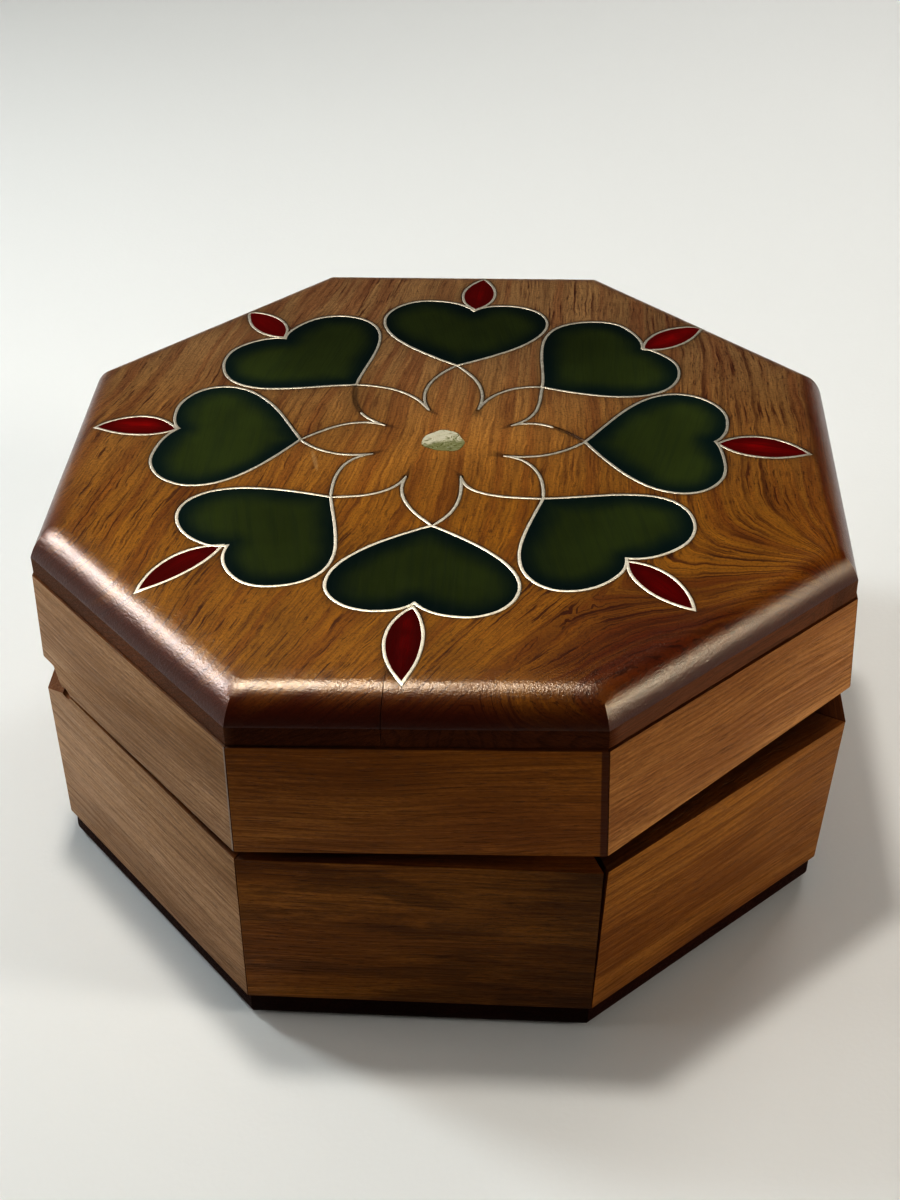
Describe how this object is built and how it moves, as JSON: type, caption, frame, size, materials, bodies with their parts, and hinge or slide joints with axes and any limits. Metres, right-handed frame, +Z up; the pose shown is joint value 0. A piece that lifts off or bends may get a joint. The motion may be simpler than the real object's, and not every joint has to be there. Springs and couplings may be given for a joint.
{
  "type": "wooden box",
  "caption": "Eight-sided wooden trinket box with a hinged lid, its top inlaid with a wire-edged rosette of green hearts and red leaves.",
  "frame": {"origin": "centre of the underside, on the surface that the box stands on", "axes": "+Z up, the hinge along Y on the -X side, the lid opens at the +X side, the side seen in front faces -Y"},
  "size_m": [0.1527, 0.153, 0.0808],
  "materials": {
    "lid_top_wood": "amber brown varnished hardwood, glossy on the rounded edge",
    "lid_wood": "satin brown hardwood boards",
    "base_wood": "satin brown hardwood boards, darker than the lid",
    "bottom_wood": "very dark, worn wood",
    "green_wood": "dark green stained wood under varnish",
    "red_wood": "deep red stained wood under varnish",
    "inlay_wire": "dull white-metal wire, pressed in and rubbed flush",
    "shell": "worn, polished shell",
    "pin_steel": "plain steel pin"
  },
  "bodies": {
    "base": {"bottom_board": "bottom_wood", "base_wall_right": "base_wood", "base_wall_back_right": "base_wood", "base_wall_back": "base_wood", "base_wall_back_left": "base_wood", "base_wall_left": "base_wood", "base_wall_front_left": "base_wood", "base_wall_front": "base_wood", "base_wall_front_right": "base_wood", "hinge_pin": "pin_steel"},
    "lid": {"lid_board": "lid_top_wood", "lid_wall_right": "lid_wood", "lid_wall_back_right": "lid_wood", "lid_wall_back": "lid_wood", "lid_wall_back_left": "lid_wood", "lid_wall_left": "lid_wood", "lid_wall_front_left": "lid_wood", "lid_wall_front": "lid_wood", "lid_wall_front_right": "lid_wood", "heart_front": "green_wood", "heart_front_right": "green_wood", "heart_right": "green_wood", "heart_back_right": "green_wood", "heart_back": "green_wood", "heart_back_left": "green_wood", "heart_left": "green_wood", "heart_front_left": "green_wood", "heart_wire_front": "inlay_wire", "heart_wire_front_right": "inlay_wire", "heart_wire_right": "inlay_wire", "heart_wire_back_right": "inlay_wire", "heart_wire_back": "inlay_wire", "heart_wire_back_left": "inlay_wire", "heart_wire_left": "inlay_wire", "heart_wire_front_left": "inlay_wire", "leaf_front": "red_wood", "leaf_front_right": "red_wood", "leaf_right": "red_wood", "leaf_back_right": "red_wood", "leaf_back": "red_wood", "leaf_back_left": "red_wood", "leaf_left": "red_wood", "leaf_front_left": "red_wood", "leaf_wire_front": "inlay_wire", "leaf_wire_front_right": "inlay_wire", "leaf_wire_right": "inlay_wire", "leaf_wire_back_right": "inlay_wire", "leaf_wire_back": "inlay_wire", "leaf_wire_back_left": "inlay_wire", "leaf_wire_left": "inlay_wire", "leaf_wire_front_left": "inlay_wire", "strand_wire_front": "inlay_wire", "strand_wire_front_right": "inlay_wire", "strand_wire_right": "inlay_wire", "strand_wire_back_right": "inlay_wire", "strand_wire_back": "inlay_wire", "strand_wire_back_left": "inlay_wire", "strand_wire_left": "inlay_wire", "strand_wire_front_left": "inlay_wire", "centre_shell": "shell"}
  },
  "joints": [
    {"name": "lid_hinge", "type": "hinge", "parent": "base", "child": "lid", "pos_m": [-0.071, 0, 0.04275], "axis": [0, -1, 0], "range_deg": [0, 72]}
  ]
}
